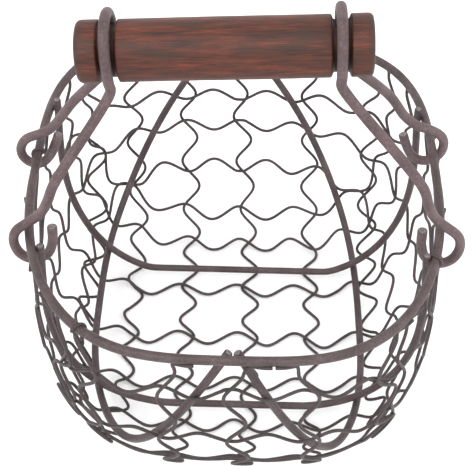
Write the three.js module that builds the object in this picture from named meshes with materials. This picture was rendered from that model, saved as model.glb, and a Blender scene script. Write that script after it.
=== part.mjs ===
// Egg collection basket: a round-cornered wire bowl covered with wavy netting, with a wooden grip
// carried by two bent wires that hook loosely over the rim. Millimetres, +Z up, the front is -Y.
// The origin is on the ground under the middle of the bowl.

import * as THREE from 'three';

// Driving dimensions.
const GRIP_DIAMETER = 25.4;
const GRIP_LENGTH = 119;
const GROOVE_SPACING = 93.2;
const RIM_HALF_WIDTH = 93;
const RIM_HALF_DEPTH = 102;
const RIM_HEIGHT = 127;
const RIM_WIRE = 4.2;
const HANDLE_WIRE = 4.5;
const HOOP_WIRE = 3.4;
const NET_WIRE = 1.6;
const WIRE_GAP = 0.3;

// Shape of the bowl: how square its plan and its upright sections are, and how much it swells.
const WIDTH_POWER = 3.4;
const FRONT_POWER = 2.4;
const BACK_POWER = 3.6;
const DEPTH_POWER = 3.4;
const FLOOR_CUT = 0.936;
const BELLY = 0.04;
const FRONT_TAPER = 0.055;

// The handle stands a little to the left and its right end rides higher.
const GRIP_CENTRE = new THREE.Vector3(-5.6, -8, RIM_HEIGHT + 83);
const GRIP_TILT = THREE.MathUtils.degToRad(3.6);
const HOOKS_Y = { left: [-37, 18], right: [-33.5, 25] };
const FRONT_HOOK_SHIFT = { left: 0, right: 2.4 };
const FRONT_HOOK_LEAN = -0.07;
const BACK_HOOK_LEAN = 0.22;
const LEAN_STARTS_AT = 8;

// Frame hoops.
const SIDE_HOOP_Y = 45;
const SIDE_HOOP_RISE = { front: 1.5, back: 6 };
const SIDE_HOOP_RISE_SHARE = 0.02;
const LONG_HOOP_FLOOR_X = { left: -70.5, right: 66 };
const LONG_HOOP_FRONT_X = 2.4;
const LONG_HOOP_BACK_X = { left: 11, right: 3 };
const LONG_HOOP_SPREAD_POWER = 0.8 / DEPTH_POWER;

// Netting.
const LONG_NETS = [
  { back: -74, bow: 0, front: -73, phase: 1 },
  { back: -56, bow: 3, front: -62, phase: -1 },
  { back: -27.5, bow: 2, front: -28, phase: 1 },
  { back: -1, bow: 8, front: 1, phase: 1 },
  { back: 36, bow: 7, front: 33, phase: -1 },
  { back: 68, bow: 4, front: 67, phase: -1 },
];
const CROSS_NETS = [
  { y: -80, swing: 2.7 },
  { y: -51, swing: 3.9 },
  { y: -26, swing: 4 },
  { y: 2, swing: 4.1 },
  { y: 35.5, swing: 3.8 },
  { y: 66.5, swing: 3.3 },
  { y: 80.5, swing: 2.4 },
];
const NET_RINGS = [
  { back: 40, side: 44, front: 22, phase: 1 },
  { back: 62, side: 76, front: 54, phase: -1 },
  { back: 88, side: 103, front: 86, phase: 1 },
];
const LONG_WAVE = { pitch: 28.2, swing: 4.1, squeeze: 0.17 };
const CROSS_WAVE = { pitch: 32, squeeze: 0 };
const RING_WAVE = { pitch: 29.5, swing: 3.3 };
const STEPS_PER_WAVE = 4;
const RING_SEAM = 0.004;

const HALF_TURN = Math.PI;
const FULL_TURN = Math.PI * 2;

const group = new THREE.Group();
group.name = 'egg_collection_basket';

function paintedWire(colour) {
  return new THREE.MeshStandardMaterial({ color: colour, roughness: 0.62, metalness: 0.25 });
}

function stainedWood() {
  return new THREE.MeshStandardMaterial({ color: 0x5e3122, roughness: 0.58, metalness: 0 });
}

function addPart(name, geometry, material) {
  const mesh = new THREE.Mesh(geometry, material);
  mesh.name = name;
  group.add(mesh);
  return mesh;
}

// A wire section whose flat sides face along and across the surface it lies on.
function wireSection(diameter, sides) {
  const corner = diameter / 2 / Math.cos(HALF_TURN / sides);
  const points = [];
  for (let i = 0; i < sides; i += 1) {
    const angle = (FULL_TURN * (i + 0.5)) / sides;
    points.push(new THREE.Vector2(corner * Math.cos(angle), corner * Math.sin(angle)));
  }
  return new THREE.Shape(points);
}

// A path given by a point function, with a second function for the side that faces outward.
class WirePath extends THREE.Curve {
  constructor(pointOf, outwardOf) {
    super();
    this.pointOf = pointOf;
    this.outwardOf = outwardOf;
    this.arcLengthDivisions = 1200;
  }

  getPoint(t) {
    return this.pointOf(t);
  }

  getUtoTmapping(u) {
    return u;
  }

  computeFrenetFrames(segments) {
    const tangents = [];
    const normals = [];
    const binormals = [];
    for (let i = 0; i <= segments; i += 1) {
      const t = i / segments;
      const tangent = this.getTangent(t);
      const normal = this.outwardOf(t).clone();
      normal.addScaledVector(tangent, -normal.dot(tangent)).normalize();
      tangents.push(tangent);
      normals.push(normal);
      binormals.push(new THREE.Vector3().crossVectors(tangent, normal));
    }
    return { tangents, normals, binormals };
  }
}

function sweepWire(path, diameter, sides, steps) {
  const settings = { steps, bevelEnabled: false, extrudePath: path };
  return new THREE.ExtrudeGeometry(wireSection(diameter, sides), settings);
}

// A shell is the bowl shape moved outward by a distance at the rim, with its own floor level and a
// further share of its width gained on the way down to the floor.
function makeShell(outward, floorHeight, spread) {
  const floorDepth = RIM_HEIGHT - floorHeight;
  return {
    a: RIM_HALF_WIDTH + outward,
    b: RIM_HALF_DEPTH + outward,
    spread,
    floorDepth,
    fullDepth: floorDepth / FLOOR_CUT,
  };
}

function depthPower(y) {
  return y < 0 ? FRONT_POWER : BACK_POWER;
}

// The bowl narrows a little towards its front.
function taperAt(y) {
  return y < 0 ? 1 - FRONT_TAPER * (y / RIM_HALF_DEPTH) ** 2 : 1;
}

// Puts a point of a shell in place, with the swell of the wall.
function placeOnShell(shell, x, y, depth) {
  const down = depth / shell.floorDepth;
  const swell = 1 + BELLY * Math.sin(HALF_TURN * down) + shell.spread * down;
  return new THREE.Vector3(x * swell * taperAt(y), y * swell, RIM_HEIGHT - depth);
}

// The side of a shell that faces out at a point.
function shellOutward(shell, point) {
  const depth = RIM_HEIGHT - point.z;
  if (depth > shell.floorDepth - 0.001) {
    return new THREE.Vector3(0, 0, -1);
  }
  const power = depthPower(point.y);
  const nx = (WIDTH_POWER * Math.abs(point.x / shell.a) ** (WIDTH_POWER - 1)) / shell.a;
  const ny = (power * Math.abs(point.y / shell.b) ** (power - 1)) / shell.b;
  const nz = (DEPTH_POWER * Math.max(0, depth / shell.fullDepth) ** (DEPTH_POWER - 1)) / shell.fullDepth;
  return new THREE.Vector3(Math.sign(point.x) * nx, Math.sign(point.y) * ny, -nz);
}

function shellDepth(shell, room, angle) {
  const depth = shell.fullDepth * (room * Math.sin(angle) ** 2) ** (1 / DEPTH_POWER);
  return Math.min(shell.floorDepth, depth);
}

// Runs from the back rim (angle 0) under the floor to the front rim (angle pi), at width x.
function longPoint(shell, x, angle) {
  const room = Math.max(0, 1 - Math.abs(x / shell.a) ** WIDTH_POWER);
  const cosine = Math.cos(angle);
  const reach = (room * cosine ** 2) ** (1 / depthPower(cosine));
  return placeOnShell(shell, x, Math.sign(cosine) * shell.b * reach, shellDepth(shell, room, angle));
}

// Runs from the right rim (angle 0) under the floor to the left rim (angle pi), at depth position y.
function crossPoint(shell, y, angle) {
  const room = Math.max(0, 1 - Math.abs(y / shell.b) ** depthPower(y));
  const cosine = Math.cos(angle);
  const reach = (room * cosine ** 2) ** (1 / WIDTH_POWER);
  return placeOnShell(shell, Math.sign(cosine) * shell.a * reach, y, shellDepth(shell, room, angle));
}

// Runs round the wall at a depth below the rim.
function ringPoint(shell, depth, angle) {
  const room = 1 - (depth / shell.fullDepth) ** DEPTH_POWER;
  const cosine = Math.cos(angle);
  const sine = Math.sin(angle);
  const x = Math.sign(cosine) * shell.a * (room * cosine ** 2) ** (1 / WIDTH_POWER);
  const y = Math.sign(sine) * shell.b * (room * sine ** 2) ** (1 / depthPower(sine));
  return placeOnShell(shell, x, y, depth);
}

// Spreads a parameter evenly by length along a plain path.
function evenSpacing(pointOf) {
  const plain = new THREE.Curve();
  plain.arcLengthDivisions = 1200;
  plain.getPoint = pointOf;
  return {
    length: plain.getLength(),
    at: (u) => plain.getUtoTmapping(u),
  };
}

// The angle at which a wire leaves the rim so that its end lies at the given drop below it.
function endAngle(shell, room, drop) {
  return Math.asin(Math.sqrt((drop / shell.fullDepth) ** DEPTH_POWER / room));
}

// The share of a wire's length reached at a share of its waves, for a wire whose waves are drawn out
// near its ends and squeezed together in its middle.
function lengthAtWave(share, squeeze) {
  let reached = share;
  for (let i = 0; i < 12; i += 1) {
    reached = share + (squeeze * Math.sin(FULL_TURN * reached)) / FULL_TURN;
  }
  return reached;
}

// A wavy wire on a shell: the wave swings sideways within the shell's surface, and has a half or a
// whole number of turns.
function wavyWire(shell, pointOf, room, wave, phase, waveStep) {
  const first = endAngle(shell, room, NET_DROP);
  const angleOf = (t) => first + (HALF_TURN - 2 * first) * t;
  const even = evenSpacing((t) => pointOf(0, angleOf(t)));
  const waves = Math.round(even.length / wave.pitch / waveStep) * waveStep;
  const place = (t) => {
    const sideways = wave.swing * phase * Math.cos(FULL_TURN * waves * t);
    return pointOf(sideways, angleOf(even.at(lengthAtWave(t, wave.squeeze))));
  };
  const path = new WirePath(place, (t) => shellOutward(shell, place(t)));
  return sweepWire(path, NET_WIRE, 4, waves * STEPS_PER_WAVE);
}

// The shells, from the inside out.
const NET_HEIGHT = NET_WIRE / 2;
const NET_STEP = NET_WIRE + WIRE_GAP;
const LONG_HOOP_FLOOR = NET_WIRE * 2 + WIRE_GAP * 2 + HOOP_WIRE / 2;
const CROSS_HOOP_FLOOR = LONG_HOOP_FLOOR + HOOP_WIRE + WIRE_GAP;
const HOOP_INSET = -(RIM_WIRE / 2 + HOOP_WIRE / 2 + 2 * WIRE_GAP);
const NET_INSET = HOOP_INSET + HOOP_WIRE / 2 + NET_WIRE / 2 + WIRE_GAP;
const NET_DROP = RIM_WIRE / 2 + NET_WIRE + WIRE_GAP;
const HOOP_SPREAD = (HOOP_WIRE + WIRE_GAP) / RIM_HALF_WIDTH;
const crossHoopShell = makeShell(HOOP_INSET, CROSS_HOOP_FLOOR, 0);
const longHoopShell = makeShell(HOOP_INSET, LONG_HOOP_FLOOR, HOOP_SPREAD);
const ringShell = makeShell(NET_INSET, NET_HEIGHT + NET_STEP * 2, HOOP_SPREAD);
const crossNetShell = makeShell(NET_INSET + NET_STEP, NET_HEIGHT + NET_STEP, HOOP_SPREAD);
const longNetShell = makeShell(NET_INSET + NET_STEP * 2, NET_HEIGHT, HOOP_SPREAD);

// Rim: one thick wire bent round the mouth, its ends butted at the back.
function buildRim() {
  const shell = makeShell(0, 0, 0);
  const seam = Math.asin(WIRE_GAP / 2 / RIM_HALF_DEPTH);
  const angleOf = (t) => HALF_TURN / 2 + seam + (FULL_TURN - 2 * seam) * t;
  const even = evenSpacing((t) => ringPoint(shell, 0, angleOf(t)));
  const place = (t) => ringPoint(shell, 0, angleOf(even.at(t)));
  const path = new WirePath(place, (t) => shellOutward(shell, place(t)));
  addPart('rim_ring', sweepWire(path, RIM_WIRE, 8, 60), paintedWire(0x5a4a48));
}

// Hoops that run from side to side under the bowl, with both ends standing a little over the rim.
function buildCrossHoop(name, y, rise) {
  const share = SIDE_HOOP_RISE_SHARE;
  const pointOf = (t) => {
    const beyond = Math.max(0, share - t, t - (1 - share)) / share;
    const inner = THREE.MathUtils.clamp((t - share) / (1 - 2 * share), 0, 1);
    const point = crossPoint(crossHoopShell, y, HALF_TURN * inner);
    point.z += rise * beyond;
    return point;
  };
  const even = evenSpacing(pointOf);
  const place = (t) => pointOf(even.at(t));
  const path = new WirePath(place, (t) => shellOutward(crossHoopShell, place(t)));
  addPart(name, sweepWire(path, HOOP_WIRE, 6, 40), paintedWire(0x4e3f40));
}

// Hoops that run from front to back: close together at the rim and far apart on the floor.
function buildLongHoop(name, floorX, backX) {
  const angleOf = (t) => HALF_TURN * t;
  const pointOf = (t) => {
    const angle = angleOf(t);
    const end = Math.cos(angle) < 0 ? LONG_HOOP_FRONT_X : backX;
    const spread = (Math.sin(angle) ** 2) ** LONG_HOOP_SPREAD_POWER;
    const x = end + (Math.abs(floorX) - end) * spread;
    return longPoint(longHoopShell, Math.sign(floorX) * x, angle);
  };
  const even = evenSpacing(pointOf);
  const place = (t) => pointOf(even.at(t));
  const path = new WirePath(place, (t) => shellOutward(longHoopShell, place(t)));
  addPart(name, sweepWire(path, HOOP_WIRE, 6, 44), paintedWire(0x4e3f40));
}

// Netting wires that run from the back rim to the front rim.
function buildLongNet(name, { back, bow, front, phase }) {
  const room = 1 - Math.abs(back / longNetShell.a) ** WIDTH_POWER;
  const pointOf = (sideways, angle) => {
    const x = back + ((front - back) * angle) / HALF_TURN + bow * Math.sin(angle);
    return longPoint(longNetShell, x + sideways, angle);
  };
  const geometry = wavyWire(longNetShell, pointOf, room, LONG_WAVE, phase, 0.5);
  addPart(name, geometry, paintedWire(0x4a3c3e));
}

// Netting wires that run from the right rim to the left rim.
function buildCrossNet(name, { y, swing }) {
  const room = 1 - Math.abs(y / crossNetShell.b) ** depthPower(y);
  const pointOf = (sideways, angle) => crossPoint(crossNetShell, y + sideways, angle);
  const geometry = wavyWire(crossNetShell, pointOf, room, { ...CROSS_WAVE, swing }, 1, 2);
  addPart(name, geometry, paintedWire(0x4a3c3e));
}

// Netting rings round the wall, each with its two ends butted at the back.
function buildNetRing(name, { back, side, front, phase }) {
  const angleOf = (t) => HALF_TURN / 2 + RING_SEAM + (FULL_TURN - 2 * RING_SEAM) * t;
  const depthAt = (angle) => {
    const middle = (back + front) / 2 + ((back - front) / 2) * Math.sin(angle);
    return middle + (side - (back + front) / 2) * Math.cos(angle) ** 2;
  };
  const even = evenSpacing((t) => ringPoint(ringShell, depthAt(angleOf(t)), angleOf(t)));
  const waves = Math.round(even.length / RING_WAVE.pitch);
  const place = (t) => {
    const angle = angleOf(even.at(t));
    const lower = RING_WAVE.swing * phase * Math.cos(FULL_TURN * waves * t);
    return ringPoint(ringShell, depthAt(angle) + lower, angle);
  };
  const path = new WirePath(place, (t) => shellOutward(ringShell, place(t)));
  addPart(name, sweepWire(path, NET_WIRE, 4, waves * STEPS_PER_WAVE), paintedWire(0x4a3c3e));
}

// Rim hooks, from the cut end to the start of the leg: distance outward from the rim and height over it.
const FRONT_HOOK = [
  [-10.5, 5],
  [-9.6, -5],
  [-6.5, -13],
  [-0.5, -16.6],
  [5, -14],
  [7.6, -6],
  [5.9, 1.8],
  [-0.6, 8],
  [-6.4, 14],
  [-10.4, 22.5],
  [-14.5, 34],
];
const LEFT_BACK_HOOK = [
  [-9.8, 8.5],
  [-7.5, 2],
  [-4, -6],
  [1.5, -11],
  [7.2, -8.5],
  [9.1, -2],
  [5.8, 5.2],
  [0, 8.2],
  [-6, 12.3],
  [-11.3, 20],
  [-19.5, 34],
];
const RIGHT_BACK_HOOK = [
  [-14.5, 7.5],
  [-12.2, 1],
  [-8.5, -6],
  [-3, -9],
  [3, -6.5],
  [5.5, 0.2],
  [4, 6.8],
  [-1.5, 11.5],
  [-9, 15],
  [-15.5, 21.5],
  [-24, 36],
];

// The loop over the grip, from its front foot over the top to its back foot: forward and up from the
// grip's axis.
const GRIP_LOOP = [
  [-11.2, -12],
  [-13.1, -7],
  [-13.3, 0],
  [-12.6, 6.5],
  [-8.4, 13],
  [0, 15.7],
  [8.4, 13],
  [12.6, 6.5],
  [13.3, 0],
  [13.1, -7],
  [11.2, -12],
];

function rimHalfWidthAt(y) {
  const room = 1 - Math.abs(y / RIM_HALF_DEPTH) ** depthPower(y);
  return RIM_HALF_WIDTH * taperAt(y) * room ** (1 / WIDTH_POWER);
}

// A hook in place. Its leg leans towards the grip, or a little away from it, as it rises.
function hookPoints(side, hookY, profile, lean, shift) {
  const rimX = rimHalfWidthAt(hookY) + shift;
  return profile.map(([outward, height]) => {
    const risen = Math.max(0, height - LEAN_STARTS_AT);
    const y = hookY - Math.sign(hookY) * lean * risen;
    return new THREE.Vector3(side * (rimX + outward), y, RIM_HEIGHT + height);
  });
}

function loopPoints(side) {
  const turn = new THREE.Euler(0, -GRIP_TILT, 0);
  return GRIP_LOOP.map(([forward, up]) => {
    const local = new THREE.Vector3((side * GROOVE_SPACING) / 2, forward, up);
    return local.applyEuler(turn).add(GRIP_CENTRE);
  });
}

// Handle wire: front hook, front leg, loop over the grip, back leg, back hook.
function buildHandleWire(name, side, [frontY, backY], frontShift, backHook) {
  const front = hookPoints(side, frontY, FRONT_HOOK, FRONT_HOOK_LEAN, frontShift);
  const back = hookPoints(side, backY, backHook, BACK_HOOK_LEAN, 0).reverse();
  const points = [...front, ...loopPoints(side), ...back];
  const bend = new THREE.CatmullRomCurve3(points, false, 'centripetal');
  bend.arcLengthDivisions = 1200;
  addPart(name, sweepWire(bend, HANDLE_WIRE, 6, 84), paintedWire(0x6e585b));
}

// Wooden grip: a dowel with eased ends and a groove for each handle wire.
function buildGrip() {
  const radius = GRIP_DIAMETER / 2;
  const end = GRIP_LENGTH / 2;
  const ease = 1.2;
  const floor = radius - 2.2;
  const middle = GROOVE_SPACING / 2;
  const wide = 3.9;
  const narrow = 3;
  const profile = [
    [0, -end],
    [radius - ease, -end],
    [radius, -end + ease],
    [radius, -middle - wide],
    [floor, -middle - narrow],
    [floor, -middle + narrow],
    [radius, -middle + wide],
    [radius, middle - wide],
    [floor, middle - narrow],
    [floor, middle + narrow],
    [radius, middle + wide],
    [radius, end - ease],
    [radius - ease, end],
    [0, end],
  ];
  const points = profile.map(([r, along]) => new THREE.Vector2(r, along));
  const geometry = new THREE.LatheGeometry(points, 28);
  geometry.rotateZ(-HALF_TURN / 2);
  const grip = addPart('grip', geometry, stainedWood());
  grip.rotation.y = -GRIP_TILT;
  grip.position.copy(GRIP_CENTRE);
}

buildRim();
buildCrossHoop('hoop_side_to_side_front', -SIDE_HOOP_Y, SIDE_HOOP_RISE.front);
buildCrossHoop('hoop_side_to_side_back', SIDE_HOOP_Y, SIDE_HOOP_RISE.back);
buildLongHoop('hoop_front_to_back_left', LONG_HOOP_FLOOR_X.left, LONG_HOOP_BACK_X.left);
buildLongHoop('hoop_front_to_back_right', LONG_HOOP_FLOOR_X.right, LONG_HOOP_BACK_X.right);
LONG_NETS.forEach((net, i) => buildLongNet(`net_front_to_back_${i + 1}`, net));
CROSS_NETS.forEach((net, i) => buildCrossNet(`net_side_to_side_${i + 1}`, net));
NET_RINGS.forEach((ring, i) => buildNetRing(`net_ring_${i + 1}`, ring));
buildHandleWire('handle_wire_left', -1, HOOKS_Y.left, FRONT_HOOK_SHIFT.left, LEFT_BACK_HOOK);
buildHandleWire('handle_wire_right', 1, HOOKS_Y.right, FRONT_HOOK_SHIFT.right, RIGHT_BACK_HOOK);
buildGrip();

export default group;
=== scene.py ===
"""Egg collection basket: painted wires, wavy netting tied to the rim, and a stained wooden grip.

Sizes are millimetres and become metres when a mesh is made. +Z is up, and the front is -Y.
"""

import math

import bmesh
import bpy
from mathutils import Euler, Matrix, Quaternion, Vector, noise


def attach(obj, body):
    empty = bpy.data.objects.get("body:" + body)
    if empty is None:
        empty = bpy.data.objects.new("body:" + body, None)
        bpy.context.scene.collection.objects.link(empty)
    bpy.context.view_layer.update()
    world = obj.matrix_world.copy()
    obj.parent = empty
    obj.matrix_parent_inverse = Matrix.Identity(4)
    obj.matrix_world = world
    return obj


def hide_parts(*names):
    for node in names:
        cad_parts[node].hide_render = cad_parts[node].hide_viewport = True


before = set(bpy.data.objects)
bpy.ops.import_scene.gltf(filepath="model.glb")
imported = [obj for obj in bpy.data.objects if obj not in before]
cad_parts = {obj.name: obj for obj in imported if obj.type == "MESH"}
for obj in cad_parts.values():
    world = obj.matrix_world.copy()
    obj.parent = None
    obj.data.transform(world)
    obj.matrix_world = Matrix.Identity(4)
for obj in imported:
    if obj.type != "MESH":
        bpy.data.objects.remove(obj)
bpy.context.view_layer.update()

MM = 0.001
HALF_TURN = math.pi
FULL_TURN = math.tau

# The bowl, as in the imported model, except that it leans a little to the right on the way down.
RIM_HALF_WIDTH = 93.0
RIM_HALF_DEPTH = 102.0
RIM_HEIGHT = 127.0
WIDTH_POWER = 3.4
FRONT_POWER = 2.4
BACK_POWER = 3.6
DEPTH_POWER = 3.4
FLOOR_CUT = 0.936
BELLY = 0.04
FRONT_TAPER = 0.055
SIDE_LEAN = 3.0

# Wire radii.
RIM_RADIUS = 2.1
HOOP_RADIUS = 1.85
HANDLE_RADIUS = 2.25
NET_RADIUS = 0.8

# The shells that the hoops and the netting lie on: distance outside the rim's line, height over the
# ground, and the share of width gained on the way down.
HOOP_INSET = -3.9
HOOP_SPREAD = 3.7 / RIM_HALF_WIDTH
CROSS_HOOP_FLOOR = 9.2
LONG_HOOP_FLOOR = 5.5
NET_INSET = HOOP_INSET + HOOP_RADIUS + NET_RADIUS
NET_STEP = 0.75

SIDE_HOOP_Y = 45.0
HOOP_END_RISE = {"front": 1.5, "back": 6.0}
LONG_HOOP_FLOOR_X = {"left": -71.0, "right": 63.0}
LONG_HOOP_FRONT_X = {"left": 1.0, "right": 2.9}
LONG_HOOP_BACK_X = {"left": 11.0, "right": 3.0}
LONG_HOOP_SPREAD_POWER = {"front": 1.0 / DEPTH_POWER, "back": 0.8 / DEPTH_POWER}

# Netting wires: (back x, sideways bow, front x, phase) from back to front, (y, swing, slant) from
# side to side, and (back, side, front depth, phase) for the rings.
LONG_NETS = [
    (-74, -2.5, -73, 1),
    (-56, 3, -62.5, -1),
    (-27.5, 1, -28, 1),
    (-1, 6.5, 1, 1),
    (36, 4.5, 33, -1),
    (68, 1.5, 66.5, -1),
]
CROSS_NETS = [
    (-79, 2.6, 0),
    (-51.5, 3.9, 0),
    (-26, 3.9, 0),
    (2.3, 4.3, 0),
    (35, 3.8, -2),
    (66.8, 3.3, 0),
    (80.5, 2.4, 0),
]
NET_RINGS = [(40, 44, 22, 1), (62, 76, 54, -1), (88, 103, 86, 1)]
LONG_WAVE = {"pitch": 28.2, "swing": 4.3, "squeeze": 0.17}
CROSS_WAVE = {"pitch": 32.0, "squeeze": 0.0}
RING_WAVE = {"pitch": 29.5, "swing": 3.5}

# The grip and the handle wires.
GRIP_CENTRE = Vector((-5.6, -8.0, RIM_HEIGHT + 83.0))
GRIP_TILT = math.radians(3.6)
GRIP_RADIUS = 12.7
GRIP_LENGTH = 119.0
GROOVE_SPACING = 93.2
HOOKS_Y = {"left": (-37.0, 18.0), "right": (-33.5, 25.0)}
FRONT_HOOK_SHIFT = {"left": 0.0, "right": 2.4}
FRONT_HOOK_LEAN = -0.07
BACK_HOOK_LEAN = 0.22
LEAN_STARTS_AT = 8.0
FRONT_HOOK = [
    (-10.5, 5),
    (-9.6, -5),
    (-6.5, -13),
    (-0.5, -16.6),
    (5, -14),
    (7.6, -6),
    (5.9, 1.8),
    (-0.6, 8),
    (-6.4, 14),
    (-10.4, 22.5),
    (-14.5, 34),
]
BACK_HOOKS = {
    "left": [
        (-9.8, 8.5),
        (-7.5, 2),
        (-4, -6),
        (1.5, -11),
        (7.2, -8.5),
        (9.1, -2),
        (5.8, 5.2),
        (0, 8.2),
        (-6, 12.3),
        (-11.3, 20),
        (-19.5, 34),
    ],
    "right": [
        (-14.5, 7.5),
        (-12.2, 1),
        (-8.5, -6),
        (-3, -9),
        (3, -6.5),
        (5.5, 0.2),
        (4, 6.8),
        (-1.5, 11.5),
        (-9, 15),
        (-15.5, 21.5),
        (-24, 36),
    ],
}
GRIP_LOOP = [
    (-11.2, -12),
    (-13.1, -7),
    (-13.3, 0),
    (-12.6, 6.5),
    (-8.4, 13),
    (0, 15.7),
    (8.4, 13),
    (12.6, 6.5),
    (13.3, 0),
    (13.1, -7),
    (11.2, -12),
]


def power(value, exponent):
    return max(0.0, value) ** exponent


def sign(value):
    return -1.0 if value < 0 else 1.0


# Bowl surface ------------------------------------------------------------------------------------


class Shell:
    """The bowl shape moved outward by a distance at the rim, with its own floor level."""

    def __init__(self, outward, floor_height, spread):
        self.a = RIM_HALF_WIDTH + outward
        self.b = RIM_HALF_DEPTH + outward
        self.spread = spread
        self.floor_depth = RIM_HEIGHT - floor_height
        self.full_depth = self.floor_depth / FLOOR_CUT

    def place(self, x, y, depth):
        down = depth / self.floor_depth
        swell = 1 + BELLY * math.sin(HALF_TURN * down) + self.spread * down
        return Vector((x * swell * taper_at(y) + SIDE_LEAN * down, y * swell, RIM_HEIGHT - depth))

    def depth(self, room, angle):
        raw = self.full_depth * power(room * math.sin(angle) ** 2, 1 / DEPTH_POWER)
        return min(self.floor_depth, raw)

    def long_point(self, x, angle):
        """From the back rim (angle 0) under the floor to the front rim (angle pi)."""
        room = max(0.0, 1 - abs(x / self.a) ** WIDTH_POWER)
        cosine = math.cos(angle)
        reach = power(room * cosine**2, 1 / depth_power(cosine))
        return self.place(x, sign(cosine) * self.b * reach, self.depth(room, angle))

    def cross_point(self, y, angle):
        """From the right rim (angle 0) under the floor to the left rim (angle pi)."""
        room = max(0.0, 1 - abs(y / self.b) ** depth_power(y))
        cosine = math.cos(angle)
        reach = power(room * cosine**2, 1 / WIDTH_POWER)
        return self.place(sign(cosine) * self.a * reach, y, self.depth(room, angle))

    def ring_point(self, depth, angle):
        room = 1 - power(depth / self.full_depth, DEPTH_POWER)
        cosine = math.cos(angle)
        sine = math.sin(angle)
        x = sign(cosine) * self.a * power(room * cosine**2, 1 / WIDTH_POWER)
        y = sign(sine) * self.b * power(room * sine**2, 1 / depth_power(sine))
        return self.place(x, y, depth)


def taper_at(y):
    """The bowl narrows a little towards its front."""
    return 1 - FRONT_TAPER * (y / RIM_HALF_DEPTH) ** 2 if y < 0 else 1.0


def depth_power(y):
    return FRONT_POWER if y < 0 else BACK_POWER


class Even:
    """Spreads a parameter evenly by length along a path."""

    STEPS = 1200

    def __init__(self, point_of):
        self.sums = [0.0]
        last = point_of(0.0)
        for i in range(1, self.STEPS + 1):
            point = point_of(i / self.STEPS)
            self.sums.append(self.sums[-1] + (point - last).length)
            last = point
        self.length = self.sums[-1]

    def at(self, share):
        target = min(1.0, max(0.0, share)) * self.length
        low, high = 0, self.STEPS
        while high - low > 1:
            middle = (low + high) // 2
            if self.sums[middle] <= target:
                low = middle
            else:
                high = middle
        span = self.sums[high] - self.sums[low]
        inside = (target - self.sums[low]) / span if span else 0.0
        return (low + inside) / self.STEPS


rim_shell = Shell(0, 0, 0)
cross_hoop_shell = Shell(HOOP_INSET, CROSS_HOOP_FLOOR, 0)
long_hoop_shell = Shell(HOOP_INSET, LONG_HOOP_FLOOR, HOOP_SPREAD)
ring_shell = Shell(NET_INSET, NET_RADIUS + 2 * NET_STEP, HOOP_SPREAD)
cross_net_shell = Shell(NET_INSET + NET_STEP, NET_RADIUS + NET_STEP, HOOP_SPREAD)
long_net_shell = Shell(NET_INSET + 2 * NET_STEP, NET_RADIUS, HOOP_SPREAD)

rim_even = Even(lambda t: rim_shell.ring_point(0, FULL_TURN * t))


def rim_frame(angle, along):
    """A point of the rim's line some way along it from an angle, with its outward direction."""
    share = (angle / FULL_TURN) % 1.0
    low = int(share * Even.STEPS)
    start = rim_even.sums[low] / rim_even.length
    here = rim_even.at((start + along / rim_even.length) % 1.0) * FULL_TURN
    point = rim_shell.ring_point(0, here)
    ahead = rim_shell.ring_point(0, here + 0.002) - rim_shell.ring_point(0, here - 0.002)
    outward = Vector((ahead.y, -ahead.x, 0)).normalized()
    return point, outward


# Meshes ------------------------------------------------------------------------------------------


def smooth_path(points, passes):
    for _ in range(passes):
        inner = [(a + 2 * b + c) / 4 for a, b, c in zip(points, points[1:], points[2:])]
        points = [points[0], *inner, points[-1]]
    return points


def respace(points, step):
    """The same path with its points evenly spaced."""
    sums = [0.0]
    for a, b in zip(points, points[1:]):
        sums.append(sums[-1] + (b - a).length)
    count = max(2, round(sums[-1] / step))
    made = []
    k = 0
    for i in range(count + 1):
        target = sums[-1] * i / count
        while k < len(points) - 2 and sums[k + 1] < target:
            k += 1
        span = sums[k + 1] - sums[k] or 1.0
        made.append(points[k].lerp(points[k + 1], (target - sums[k]) / span))
    return made


def lumpy(radius, point, amount):
    """A wire radius with the slight lumps of thick paint."""
    broad = noise.noise(point * 0.11)
    fine = noise.noise(point * 0.45 + Vector((7, 3, 1)))
    return radius * (1 + amount * (0.6 * broad + 0.4 * fine))


def tube_mesh(name, points, radii, sides, bevel):
    """A round wire along a path, with two cut ends whose faces use the second material."""
    mesh = bmesh.new()
    count = len(points)
    tangents = [
        (points[min(i + 1, count - 1)] - points[max(i - 1, 0)]).normalized() for i in range(count)
    ]
    normal = tangents[0].orthogonal().normalized()
    rings = []
    for i in range(count):
        if i:
            turn = tangents[i - 1].rotation_difference(tangents[i])
            normal = (turn @ normal).normalized()
            normal = (normal - tangents[i] * normal.dot(tangents[i])).normalized()
        binormal = tangents[i].cross(normal)
        ring = []
        for k in range(sides):
            angle = FULL_TURN * k / sides
            offset = normal * math.cos(angle) + binormal * math.sin(angle)
            ring.append((points[i] + offset * radii[i], offset))
        rings.append(ring)
    verts = [[mesh.verts.new(p * MM) for p, _ in ring] for ring in rings]
    for low, high in zip(verts, verts[1:]):
        for k in range(sides):
            n = (k + 1) % sides
            mesh.faces.new((low[k], low[n], high[n], high[k]))
    ends = ((rings[0], verts[0], -tangents[0]), (rings[-1], verts[-1], tangents[-1]))
    for ring, own, tangent in ends:
        edge = [
            mesh.verts.new((p - offset * bevel + tangent * bevel * 0.7) * MM) for p, offset in ring
        ]
        centre = sum((v.co for v in edge), Vector()) / sides + tangent * bevel * 0.2 * MM
        tip = mesh.verts.new(centre)
        for k in range(sides):
            n = (k + 1) % sides
            mesh.faces.new((own[k], own[n], edge[n], edge[k]))
            face = mesh.faces.new((edge[k], edge[n], tip))
            face.material_index = 1
    bmesh.ops.recalc_face_normals(mesh, faces=mesh.faces)
    for face in mesh.faces:
        face.smooth = True
    data = bpy.data.meshes.new(name)
    mesh.to_mesh(data)
    mesh.free()
    return data


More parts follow.
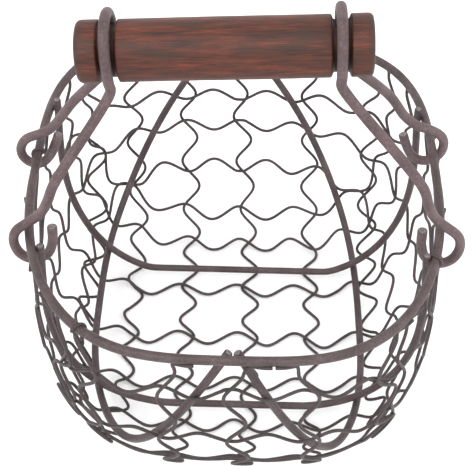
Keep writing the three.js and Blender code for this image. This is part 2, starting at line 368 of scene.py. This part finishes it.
def add_piece(name, data, materials, body, node=None):
    piece = bpy.data.objects.new(name, data)
    bpy.context.scene.collection.objects.link(piece)
    for material in materials:
        data.materials.append(material)
    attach(piece, body)
    if node:
        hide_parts(node)
    return piece


def add_wire(name, points, radius, sides, look, body, node=None, lumps=0.05, bevel=None):
    radii = [lumpy(radius, p, lumps) for p in points]
    data = tube_mesh(name, points, radii, sides, radius * 0.3 if bevel is None else bevel)
    return add_piece(name, data, look, body, node)


# Materials ---------------------------------------------------------------------------------------


class Nodes:
    """Short calls for building a node material."""

    def __init__(self, name):
        self.material = bpy.data.materials.new(name)
        self.material.use_nodes = True
        self.tree = self.material.node_tree
        self.shader = self.tree.nodes["Principled BSDF"]
        self.coords = self.tree.nodes.new("ShaderNodeTexCoord").outputs["Object"]

    def link(self, output, socket):
        self.tree.links.new(output, socket)

    def mapping(self, scale, location=(0, 0, 0), rotation=(0, 0, 0)):
        """Coordinates in millimetres, turned and moved to a piece's own axes, then scaled."""
        local = self.tree.nodes.new("ShaderNodeMapping")
        local.vector_type = "TEXTURE"
        local.inputs["Location"].default_value = [v * MM for v in location]
        local.inputs["Rotation"].default_value = rotation
        local.inputs["Scale"].default_value = (MM, MM, MM)
        self.link(self.coords, local.inputs["Vector"])
        scaled = self.tree.nodes.new("ShaderNodeMapping")
        scaled.inputs["Scale"].default_value = scale
        self.link(local.outputs[0], scaled.inputs["Vector"])
        return scaled.outputs[0]

    def noise(self, vector, scale, detail=4.0, roughness=0.55, distortion=0.0):
        node = self.tree.nodes.new("ShaderNodeTexNoise")
        node.inputs["Scale"].default_value = scale
        node.inputs["Detail"].default_value = detail
        node.inputs["Roughness"].default_value = roughness
        node.inputs["Distortion"].default_value = distortion
        self.link(vector, node.inputs["Vector"])
        return node.outputs["Fac"]

    def ramp(self, value, stops):
        node = self.tree.nodes.new("ShaderNodeValToRGB")
        ramp = node.color_ramp
        while len(ramp.elements) < len(stops):
            ramp.elements.new(0.5)
        for element, (position, colour) in zip(ramp.elements, stops):
            element.position = position
            element.color = (*colour, 1)
        self.link(value, node.inputs["Fac"])
        return node.outputs["Color"]

    def scalar(self, value, low, high, to_low, to_high):
        node = self.tree.nodes.new("ShaderNodeMapRange")
        names = ("From Min", "From Max", "To Min", "To Max")
        for socket, number in zip(names, (low, high, to_low, to_high)):
            node.inputs[socket].default_value = number
        self.link(value, node.inputs["Value"])
        return node.outputs["Result"]

    def math(self, operation, a, b):
        node = self.tree.nodes.new("ShaderNodeMath")
        node.operation = operation
        for socket, value in zip(node.inputs, (a, b)):
            if isinstance(value, (int, float)):
                socket.default_value = value
            else:
                self.link(value, socket)
        return node.outputs[0]

    def mix(self, factor, a, b, blend="MIX"):
        node = self.tree.nodes.new("ShaderNodeMix")
        node.data_type = "RGBA"
        node.blend_type = blend
        sockets = (node.inputs["Factor"], node.inputs[6], node.inputs[7])
        for socket, value in zip(sockets, (factor, a, b)):
            if isinstance(value, tuple):
                socket.default_value = (*value, 1)
            elif isinstance(value, (int, float)):
                socket.default_value = value
            else:
                self.link(value, socket)
        return node.outputs[2]

    def bump(self, height, distance, strength, normal=None):
        node = self.tree.nodes.new("ShaderNodeBump")
        node.inputs["Distance"].default_value = distance * MM
        node.inputs["Strength"].default_value = strength
        self.link(height, node.inputs["Height"])
        if normal is not None:
            self.link(normal, node.inputs["Normal"])
        return node.outputs["Normal"]

    def finish(self, colour, roughness, normal=None, constants=()):
        self.link(colour, self.shader.inputs["Base Color"])
        self.link(roughness, self.shader.inputs["Roughness"])
        if normal is not None:
            self.link(normal, self.shader.inputs["Normal"])
        for name, value in constants:
            self.shader.inputs[name].default_value = value
        return self.material


def painted_wire(name, dark, middle, light):
    """Matte brown-mauve paint: cloudy tone, fine speckle, worn flecks and a pitted skin."""
    n = Nodes(name)
    space = n.mapping((1, 1, 1))
    clouds = n.noise(space, 0.07, 3)
    mottle = n.noise(space, 0.9, 5, 0.65)
    speckle = n.noise(space, 3.4, 3, 0.7)
    tone = n.math("ADD", n.math("MULTIPLY", clouds, 0.45), n.math("MULTIPLY", mottle, 0.55))
    colour = n.ramp(tone, [(0.36, dark), (0.5, middle), (0.66, light)])
    flecks = n.scalar(speckle, 0.66, 0.76, 0.0, 0.55)
    worn = tuple(min(1.0, c * 2.6 + 0.02) for c in light)
    colour = n.mix(flecks, colour, worn)
    pits = n.scalar(speckle, 0.3, 0.4, 0.5, 0.0)
    colour = n.mix(pits, colour, tuple(c * 0.45 for c in dark))
    roughness = n.scalar(mottle, 0.3, 0.7, 0.42, 0.62)
    normal = n.bump(n.math("ADD", mottle, n.math("MULTIPLY", speckle, 0.4)), 0.22, 0.75)
    return n.finish(colour, roughness, normal, [("Metallic", 0.1)])


def cut_steel(name):
    """The sawn end of a wire: grey, sparkling, with saw lines and paint caught in it."""
    n = Nodes(name)
    space = n.mapping((1, 1, 1))
    grain = n.noise(space, 2.2, 5, 0.75)
    lines = n.noise(n.mapping((0.6, 6, 6)), 1.0, 3)
    stops = [(0.36, (0.05, 0.04, 0.04)), (0.52, (0.2, 0.18, 0.18)), (0.68, (0.5, 0.48, 0.47))]
    colour = n.ramp(grain, stops)
    roughness = n.scalar(lines, 0.3, 0.7, 0.35, 0.6)
    normal = n.bump(n.math("ADD", grain, lines), 0.2, 0.8)
    return n.finish(colour, roughness, normal, [("Metallic", 0.6)])


def stained_wood(name):
    """Reddish-brown stained dowel: grain along it, dark patches, pores and dark ends."""
    n = Nodes(name)
    place = {"location": tuple(GRIP_CENTRE), "rotation": (0, -GRIP_TILT, 0)}
    figure = n.noise(n.mapping((0.035, 0.32, 0.32), **place), 1.0, 4, 0.6, 0.6)
    grain = n.noise(n.mapping((0.09, 2.4, 2.4), **place), 1.0, 5, 0.7, 0.2)
    pores = n.noise(n.mapping((0.28, 5.5, 5.5), **place), 1.0, 3, 0.6)
    blotch = n.noise(n.mapping((0.055, 0.13, 0.13), **place), 1.0, 3, 0.5)
    tone = n.math("ADD", n.math("MULTIPLY", figure, 0.5), n.math("MULTIPLY", grain, 0.5))
    colour = n.ramp(
        tone,
        [
            (0.36, (0.016, 0.004, 0.0025)),
            (0.46, (0.048, 0.01, 0.004)),
            (0.55, (0.1, 0.02, 0.0075)),
            (0.67, (0.2, 0.048, 0.018)),
        ],
    )
    colour = n.mix(n.scalar(blotch, 0.5, 0.66, 0.0, 0.65), colour, (0.03, 0.014, 0.006))
    colour = n.mix(n.scalar(pores, 0.3, 0.42, 0.65, 0.0), colour, (0.018, 0.007, 0.004))
    along = n.tree.nodes.new("ShaderNodeSeparateXYZ")
    n.link(n.mapping((1, 1, 1), **place), along.inputs[0])
    reach = n.math("ABSOLUTE", along.outputs["X"], 0.0)
    ragged = n.math("ADD", reach, n.math("MULTIPLY", figure, 5.0))
    edge = n.scalar(ragged, GRIP_LENGTH / 2 - 1.5, GRIP_LENGTH / 2 + 2.6, 0.0, 0.8)
    colour = n.mix(edge, colour, (0.03, 0.013, 0.008))
    # Painted shade: the wood is darkened in and beside the two wire grooves, standing in for the
    # shadow around the handle wires.
    from_groove = n.math("ABSOLUTE", n.math("SUBTRACT", reach, GROOVE_SPACING / 2), 0.0)
    groove_painted_shade = n.scalar(from_groove, 2.6, 4.6, 0.85, 0.0)
    colour = n.mix(groove_painted_shade, colour, (0.016, 0.008, 0.006))
    roughness = n.scalar(grain, 0.3, 0.7, 0.4, 0.58)
    normal = n.bump(grain, 0.22, 0.6)
    normal = n.bump(pores, 0.12, 0.5, normal)
    return n.finish(colour, roughness, normal, [("Specular IOR Level", 0.4)])


rim_paint = painted_wire(
    "painted_rim",
    (0.036, 0.022, 0.023),
    (0.064, 0.042, 0.043),
    (0.115, 0.083, 0.084),
)
hoop_paint = painted_wire(
    "painted_hoops",
    (0.032, 0.019, 0.021),
    (0.054, 0.034, 0.037),
    (0.098, 0.068, 0.072),
)
net_paint = painted_wire(
    "painted_netting",
    (0.024, 0.015, 0.016),
    (0.041, 0.027, 0.029),
    (0.075, 0.053, 0.056),
)
handle_paint = painted_wire(
    "painted_handle",
    (0.052, 0.03, 0.032),
    (0.09, 0.056, 0.06),
    (0.155, 0.105, 0.111),
)
bare_end = cut_steel("cut_wire_end")
wood = stained_wood("stained_wood")


# Frame wires -------------------------------------------------------------------------------------

WELD_LENGTH = 3.4
WELD_SWELL = 0.16


def build_rim():
    even = Even(lambda t: rim_shell.ring_point(0, HALF_TURN / 2 + FULL_TURN * t))
    count = 420
    points = [
        rim_shell.ring_point(0, HALF_TURN / 2 + FULL_TURN * even.at(0.0004 + 0.9992 * i / count))
        for i in range(count + 1)
    ]
    radii = []
    for i, point in enumerate(points):
        from_weld = min(i, count - i) * even.length / count
        bead = WELD_SWELL * math.exp(-((from_weld / WELD_LENGTH) ** 2))
        radii.append(lumpy(RIM_RADIUS, point, 0.05) * (1 + bead))
    data = tube_mesh("rim_wire", points, radii, 18, 0.15)
    add_piece("rim_wire", data, [rim_paint, rim_paint], "basket", "rim_ring")


def build_hoop(name, node, point_of, rise):
    even = Even(point_of)
    count = 260
    points = [point_of(even.at(i / count)) for i in range(count + 1)]
    if rise:
        up = Vector((0, 0, rise))
        points = [points[0] + up, *points, points[-1] + up]
    points = smooth_path(respace(points, 1.6), 4)
    look = [hoop_paint, bare_end]
    add_wire(name, points, HOOP_RADIUS, 14, look, "basket", node)


def build_hoops():
    for end, y in (("front", -SIDE_HOOP_Y), ("back", SIDE_HOOP_Y)):
        build_hoop(
            f"side_hoop_{end}",
            f"hoop_side_to_side_{end}",
            lambda t, y=y: cross_hoop_shell.cross_point(y, HALF_TURN * t),
            HOOP_END_RISE[end],
        )
    for side, floor_x in LONG_HOOP_FLOOR_X.items():

        def point_of(t, side=side, floor_x=floor_x):
            angle = HALF_TURN * t
            at_front = math.cos(angle) < 0
            end = (LONG_HOOP_FRONT_X if at_front else LONG_HOOP_BACK_X)[side]
            spread_power = LONG_HOOP_SPREAD_POWER["front" if at_front else "back"]
            spread = power(math.sin(angle) ** 2, spread_power)
            x = end + (abs(floor_x) - end) * spread
            return long_hoop_shell.long_point(sign(floor_x) * x, angle)

        build_hoop(f"long_hoop_{side}", f"hoop_front_to_back_{side}", point_of, 0)


# Netting -----------------------------------------------------------------------------------------

NET_DROP = 6.5
NET_SPACING = 0.9
END_RADIUS = RIM_RADIUS + NET_RADIUS * 0.75
UNDER_RIM = -1.45
RIM_TRIES = 360


def length_at_wave(share, squeeze):
    reached = share
    for _ in range(12):
        reached = share + squeeze * math.sin(FULL_TURN * reached) / FULL_TURN
    return reached


def swing_at(waves, share, seed):
    """The sideways wave: straight flanks, round tips, and no two waves quite alike."""
    angle = FULL_TURN * waves * share
    uneven = 1 + 0.16 * noise.noise(Vector((waves * share * 0.9, seed * 3.7, 0.5)))
    slip = 0.35 * noise.noise(Vector((waves * share * 0.7, seed * 5.1, 9.5)))
    return uneven * (math.cos(angle + slip) + 0.02 * math.cos(3 * (angle + slip))) / 1.02


def rim_end(last, turns, advance):
    """Points that take a netting wire from under the rim round it or along it."""
    level = Vector((last.x, last.y, RIM_HEIGHT))
    best = min(
        (i / RIM_TRIES for i in range(RIM_TRIES)),
        key=lambda t: (rim_shell.ring_point(0, FULL_TURN * t) - level).length,
    )
    angle = FULL_TURN * best
    count = max(10, round(16 * turns))
    made = []
    for i in range(count + 1):
        share = i / count
        section = UNDER_RIM + FULL_TURN * turns * share
        point, outward = rim_frame(angle, advance * share)
        offset = outward * math.cos(section) + Vector((0, 0, 1)) * math.sin(section)
        made.append(point + offset * END_RADIUS)
    return made


def net_path(shell_point, room, shell, wave, phase, wave_step, seed):
    def end_angle(drop):
        return math.asin(math.sqrt(power(drop / shell.full_depth, DEPTH_POWER) / room))

    first = end_angle(NET_DROP)

    def angle_of(t):
        return first + (HALF_TURN - 2 * first) * t

    even = Even(lambda t: shell_point(0, angle_of(t)))
    waves = round(even.length / wave["pitch"] / wave_step) * wave_step
    count = round(even.length / NET_SPACING)
    points = []
    for i in range(count + 1):
        share = i / count
        sideways = wave["swing"] * phase * swing_at(waves, share, seed)
        reached = even.at(length_at_wave(share, wave["squeeze"]))
        points.append(shell_point(sideways, angle_of(reached)))
    return points


def tie_ends(points, ends):
    (turns_a, advance_a), (turns_b, advance_b) = ends
    head = rim_end(points[0], turns_a, advance_a)
    tail = rim_end(points[-1], turns_b, advance_b)
    whole = [*reversed(head), *points, *tail]
    return smooth_path(respace(whole, NET_SPACING), 3)


def add_net(name, node, points):
    look = [net_paint, net_paint]
    add_wire(name, points, NET_RADIUS, 10, look, "basket", node, 0.09)


TUCK = 0.16
WRAP = 1.15
LONG_ENDS = [
    ((TUCK, 9), (TUCK, -9)),
    ((TUCK, 9), (WRAP, 6)),
    ((TUCK, -9), (TUCK, 9)),
    ((TUCK, 9), (TUCK, 9)),
    ((TUCK, 8), (TUCK, -9)),
    ((WRAP, -6), (TUCK, 8)),
]
CROSS_ENDS = [
    ((TUCK, 8), (TUCK, -8)),
    ((WRAP, 6), (TUCK, 8)),
    ((TUCK, 8), (TUCK, -8)),
    ((TUCK, 8), (WRAP, -6)),
    ((TUCK, -8), (TUCK, 8)),
    ((TUCK, 8), (TUCK, 8)),
    ((TUCK, 8), (TUCK, -8)),
]


def build_netting():
    for i, (back, bow, front, phase) in enumerate(LONG_NETS):

        def long_point(sideways, angle, back=back, bow=bow, front=front):
            x = back + (front - back) * angle / HALF_TURN + bow * math.sin(angle)
            return long_net_shell.long_point(x + sideways, angle)

        room = 1 - abs(back / long_net_shell.a) ** WIDTH_POWER
        points = net_path(long_point, room, long_net_shell, LONG_WAVE, phase, 0.5, i + 1)
        add_net(f"net_long_{i + 1}", f"net_front_to_back_{i + 1}", tie_ends(points, LONG_ENDS[i]))
    for i, (y, swing, slant) in enumerate(CROSS_NETS):

        def cross_point(sideways, angle, y=y, slant=slant):
            return cross_net_shell.cross_point(y - slant * math.cos(angle) + sideways, angle)

        room = 1 - abs(y / cross_net_shell.b) ** depth_power(y)
        wave = {**CROSS_WAVE, "swing": swing}
        points = net_path(cross_point, room, cross_net_shell, wave, 1, 2, i + 11)
        add_net(f"net_cross_{i + 1}", f"net_side_to_side_{i + 1}", tie_ends(points, CROSS_ENDS[i]))
    for i, (back, side, front, phase) in enumerate(NET_RINGS):

        def depth_at(angle, back=back, side=side, front=front):
            middle = (back + front) / 2 + (back - front) / 2 * math.sin(angle)
            return middle + (side - (back + front) / 2) * math.cos(angle) ** 2

        def plain(t, depth_at=depth_at):
            angle = HALF_TURN / 2 + FULL_TURN * t
            return ring_shell.ring_point(depth_at(angle), angle)

        even = Even(plain)
        waves = round(even.length / RING_WAVE["pitch"])
        count = round(even.length / NET_SPACING)
        points = []
        for k in range(count + 1):
            share = k / count
            angle = HALF_TURN / 2 + FULL_TURN * even.at(share)
            fade = min(1.0, 8 * min(share, 1 - share))
            plain_wave = math.cos(FULL_TURN * waves * share)
            wave = fade * swing_at(waves, share, i + 21) + (1 - fade) * plain_wave
            lower = RING_WAVE["swing"] * phase * wave
            points.append(ring_shell.ring_point(depth_at(angle) + lower, angle))
        add_net(f"net_band_{i + 1}", f"net_ring_{i + 1}", points)


# Handle ------------------------------------------------------------------------------------------


def rim_half_width_at(y):
    room = 1 - abs(y / RIM_HALF_DEPTH) ** depth_power(y)
    return RIM_HALF_WIDTH * taper_at(y) * room ** (1 / WIDTH_POWER)


def hook_points(side, hook_y, profile, lean, shift):
    rim_x = rim_half_width_at(hook_y) + shift
    made = []
    for outward, height in profile:
        risen = max(0.0, height - LEAN_STARTS_AT)
        y = hook_y - sign(hook_y) * lean * risen
        made.append(Vector((side * (rim_x + outward), y, RIM_HEIGHT + height)))
    return made


def grip_turn():
    return Euler((0, -GRIP_TILT, 0)).to_matrix()


def loop_points(side):
    turn = grip_turn()
    return [
        turn @ Vector((side * GROOVE_SPACING / 2, forward, up)) + GRIP_CENTRE
        for forward, up in GRIP_LOOP
    ]


def centripetal(points, per_span):
    """A centripetal Catmull-Rom curve through the points."""
    first = points[0] * 2 - points[1]
    last = points[-1] * 2 - points[-2]
    whole = [first, *points, last]
    made = []
    for p0, p1, p2, p3 in zip(whole, whole[1:], whole[2:], whole[3:]):
        t0 = 0.0
        t1 = t0 + math.sqrt((p1 - p0).length)
        t2 = t1 + math.sqrt((p2 - p1).length)
        t3 = t2 + math.sqrt((p3 - p2).length)
        for i in range(per_span):
            t = t1 + (t2 - t1) * i / per_span
            a1 = p0.lerp(p1, (t - t0) / (t1 - t0))
            a2 = p1.lerp(p2, (t - t1) / (t2 - t1))
            a3 = p2.lerp(p3, (t - t2) / (t3 - t2))
            b1 = a1.lerp(a2, (t - t0) / (t2 - t0))
            b2 = a2.lerp(a3, (t - t1) / (t3 - t1))
            made.append(b1.lerp(b2, (t - t1) / (t2 - t1)))
    made.append(points[-1])
    return made


def build_handle_wires():
    for name, side in (("left", -1), ("right", 1)):
        front_y, back_y = HOOKS_Y[name]
        shift = FRONT_HOOK_SHIFT[name]
        front = hook_points(side, front_y, FRONT_HOOK, FRONT_HOOK_LEAN, shift)
        back = hook_points(side, back_y, BACK_HOOKS[name], BACK_HOOK_LEAN, 0)[::-1]
        points = centripetal([*front, *loop_points(side), *back], 14)
        points = smooth_path(respace(points, 1.2), 3)
        add_wire(
            f"handle_{name}",
            points,
            HANDLE_RADIUS,
            18,
            [handle_paint, bare_end],
            f"{name}_handle_wire",
            f"handle_wire_{name}",
        )


def grip_profile():
    """Half of the dowel's outline, from its middle to its end: distance along, and radius."""
    groove = GROOVE_SPACING / 2
    floor = GRIP_RADIUS - 2.2
    rows = []
    along = 0.0
    while along < groove - 4.6:
        rows.append((along, GRIP_RADIUS))
        along += 1.5
    rows += [
        (groove - 4.5, GRIP_RADIUS),
        (groove - 4.05, GRIP_RADIUS - 0.12),
        (groove - 3.75, GRIP_RADIUS - 0.6),
        (groove - 3.25, floor + 0.35),
        (groove - 2.8, floor),
        (groove, floor),
        (groove + 2.8, floor),
        (groove + 3.25, floor + 0.35),
        (groove + 3.75, GRIP_RADIUS - 0.6),
        (groove + 4.05, GRIP_RADIUS - 0.12),
        (groove + 4.5, GRIP_RADIUS),
        (groove + 7, GRIP_RADIUS),
        (groove + 9, GRIP_RADIUS),
    ]
    end = GRIP_LENGTH / 2
    rows += [
        (end - 2.2, GRIP_RADIUS),
        (end - 1.4, GRIP_RADIUS - 0.12),
        (end - 0.7, GRIP_RADIUS - 0.5),
        (end - 0.2, GRIP_RADIUS - 1.1),
        (end, GRIP_RADIUS - 1.9),
        (end, GRIP_RADIUS * 0.6),
        (end, GRIP_RADIUS * 0.25),
    ]
    return rows


def build_grip():
    half = grip_profile()
    rows = [(-x, r) for x, r in reversed(half[1:])] + half
    sides = 96
    turn = grip_turn()
    mesh = bmesh.new()
    rings = []
    for along, radius in rows:
        ring = []
        for k in range(sides):
            angle = FULL_TURN * k / sides
            flat = Vector((along, math.cos(angle), math.sin(angle)))
            broad = noise.noise(Vector((along * 0.03, flat.y * 0.8, flat.z * 0.8)))
            dents = noise.noise(Vector((along * 0.16, flat.y * 2.6, flat.z * 2.6)))
            own = radius + (0.16 * broad + 0.07 * min(0.0, dents)) * min(1.0, radius / GRIP_RADIUS)
            point = turn @ Vector((along, flat.y * own, flat.z * own)) + GRIP_CENTRE
            ring.append(mesh.verts.new(point * MM))
        rings.append(ring)
    for low, high in zip(rings, rings[1:]):
        for k in range(sides):
            n = (k + 1) % sides
            mesh.faces.new((low[k], low[n], high[n], high[k]))
    for ring in (rings[0], rings[-1]):
        tip = mesh.verts.new(sum((v.co for v in ring), Vector()) / sides)
        for k in range(sides):
            mesh.faces.new((ring[k], ring[(k + 1) % sides], tip))
    bmesh.ops.recalc_face_normals(mesh, faces=mesh.faces)
    for face in mesh.faces:
        face.smooth = True
    data = bpy.data.meshes.new("wood_grip")
    mesh.to_mesh(data)
    mesh.free()
    add_piece("wood_grip", data, [wood], "wooden_grip", "grip")


# Studio ------------------------------------------------------------------------------------------


def build_floor():
    n = Nodes("pale_floor")
    cloud = n.noise(n.mapping((1, 1, 1)), 0.01, 2)
    colour = n.ramp(cloud, [(0.3, (0.93, 0.93, 0.93)), (0.7, (0.95, 0.95, 0.95))])
    material = n.finish(colour, n.scalar(cloud, 0, 1, 0.85, 0.95))
    mesh = bmesh.new()
    bmesh.ops.create_grid(mesh, x_segments=8, y_segments=8, size=3.0)
    data = bpy.data.meshes.new("floor")
    mesh.to_mesh(data)
    mesh.free()
    data.materials.append(material)
    floor = bpy.data.objects.new("floor", data)
    bpy.context.scene.collection.objects.link(floor)


def add_light(name, location, target, size, watts):
    data = bpy.data.lights.new(name, "AREA")
    data.shape = "DISK"
    data.size = size
    data.energy = watts
    light = bpy.data.objects.new(name, data)
    bpy.context.scene.collection.objects.link(light)
    light.location = location
    light.rotation_mode = "QUATERNION"
    light.rotation_quaternion = (Vector(target) - Vector(location)).to_track_quat("-Z", "Y")


def build_lights():
    world = bpy.data.worlds.new("studio")
    world.use_nodes = True
    background = world.node_tree.nodes["Background"]
    background.inputs["Color"].default_value = (1, 1, 1, 1)
    background.inputs["Strength"].default_value = 1.3
    bpy.context.scene.world = world
    middle = (0, 0, 0.12)
    add_light("key", (-0.5, -0.75, 1.25), middle, 0.9, 9)
    add_light("fill", (0.95, -0.3, 0.8), middle, 0.8, 3)
    bpy.context.scene.view_settings.view_transform = "Standard"


CAMERA_PLACE = Vector((1.0, -366.3, 497.9))
CAMERA_TARGET = Vector((1.03, 0, 90.2))
CAMERA_LENS = 85.95
CAMERA_ROLL = math.radians(1.5)


def build_camera():
    """The basket is seen from in front and well above, through a short telephoto lens."""
    place = CAMERA_PLACE * MM
    target = CAMERA_TARGET * MM
    data = bpy.data.cameras.new("camera")
    data.sensor_width = 36
    data.lens = CAMERA_LENS
    camera = bpy.data.objects.new("camera", data)
    bpy.context.scene.collection.objects.link(camera)
    camera.location = place
    camera.rotation_mode = "QUATERNION"
    facing = (target - place).to_track_quat("-Z", "Y")
    camera.rotation_quaternion = facing @ Quaternion((0, 0, 1), CAMERA_ROLL)
    bpy.context.scene.camera = camera


build_rim()
build_hoops()
build_netting()
build_handle_wires()
build_grip()
build_floor()
build_lights()
build_camera()
